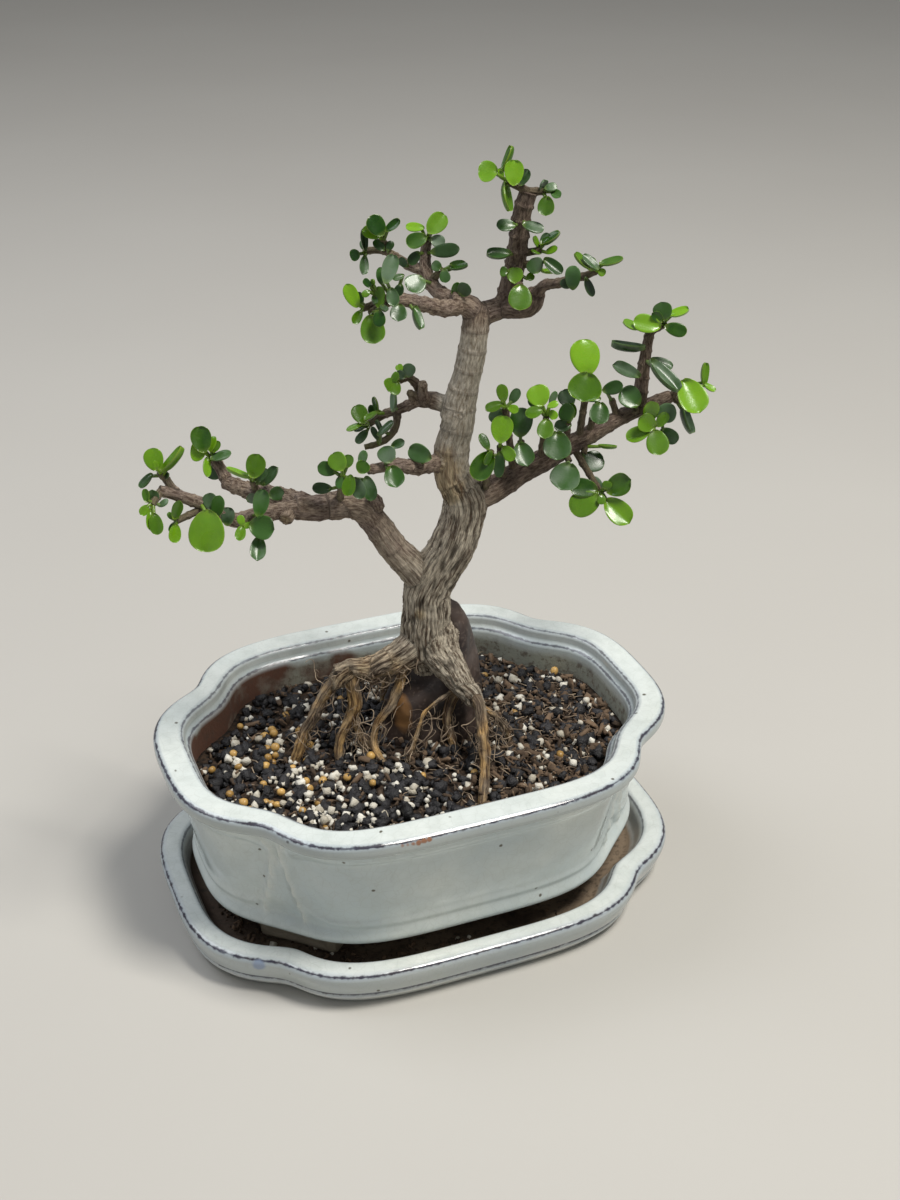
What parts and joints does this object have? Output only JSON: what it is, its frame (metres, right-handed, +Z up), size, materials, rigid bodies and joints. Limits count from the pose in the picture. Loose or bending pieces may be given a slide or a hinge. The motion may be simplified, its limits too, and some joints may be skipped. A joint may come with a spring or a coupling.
{
  "type": "jade bonsai",
  "caption": "Dwarf jade bonsai with a forked trunk and open foliage, its roots gripping a stone, in a lobed oval glazed pot with feet, standing in a matching shallow saucer",
  "frame": {"origin": "centre of the saucer's flat underside, on the surface that it stands on", "axes": "+Z up; X along the long side of the pot; -Y towards the front of the tree"},
  "size_m": [0.2348, 0.164, 0.3048],
  "materials": {
    "pot_glaze": "glossy pale celadon crackle glaze",
    "saucer_glaze": "glossy blue-white glaze, dusty inside",
    "soil": "loose gritty bonsai soil",
    "stone": "water-worn brown stone",
    "bark": "rough fibrous bark",
    "leaf_bright": "young succulent leaves, waxy",
    "leaf_deep": "older succulent leaves, waxy with a pale bloom"
  },
  "bodies": {
    "root": {"saucer": "saucer_glaze", "pot": "pot_glaze", "stone": "stone", "tree_wood": "bark", "soil": "soil", "left_tip_upper": "leaf_bright", "left_tip_lower": "leaf_bright", "left_tip_drop": "leaf_bright", "left_low_shoot": "leaf_bright", "left_small_rosette": "leaf_bright", "left_high_shoot": "leaf_bright", "left_high_bright": "leaf_bright", "left_cluster": "leaf_deep", "mid_left_low_shoot": "leaf_bright", "mid_left_high_shoot": "leaf_bright", "mid_left_sprout": "leaf_bright", "top_left_high_limb": "leaf_bright", "top_left_side_limb": "leaf_bright", "top_left_fan": "leaf_deep", "top_left_triangle": "leaf_deep", "top_left_low_limb": "leaf_deep", "low_limb_front": "leaf_bright", "low_limb_west": "leaf_bright", "low_limb_big": "leaf_bright", "leader_crown": "leaf_bright", "leader_right": "leaf_deep", "top_right_leader": "leaf_deep", "leader_side": "leaf_bright", "leader_fork": "leaf_deep", "stub_drop": "leaf_bright", "top_right_twig": "leaf_deep", "right_bright_low": "leaf_bright", "right_low_round": "leaf_bright", "right_front_rosette": "leaf_bright", "right_grey_pair": "leaf_deep", "right_mid_rosette": "leaf_bright", "right_grey_round": "leaf_deep", "right_back_leaves": "leaf_deep", "right_big_pair": "leaf_bright", "right_big_under": "leaf_deep", "right_under": "leaf_deep", "right_under_round": "leaf_deep", "right_lower_rosette": "leaf_bright", "right_node_grey": "leaf_deep", "right_fork_round": "leaf_deep", "right_front_bright": "leaf_bright", "right_front_dark": "leaf_deep", "right_front_grey": "leaf_deep", "right_tip": "leaf_bright", "right_hanging": "leaf_deep", "right_upright": "leaf_deep"}
  },
  "joints": []
}
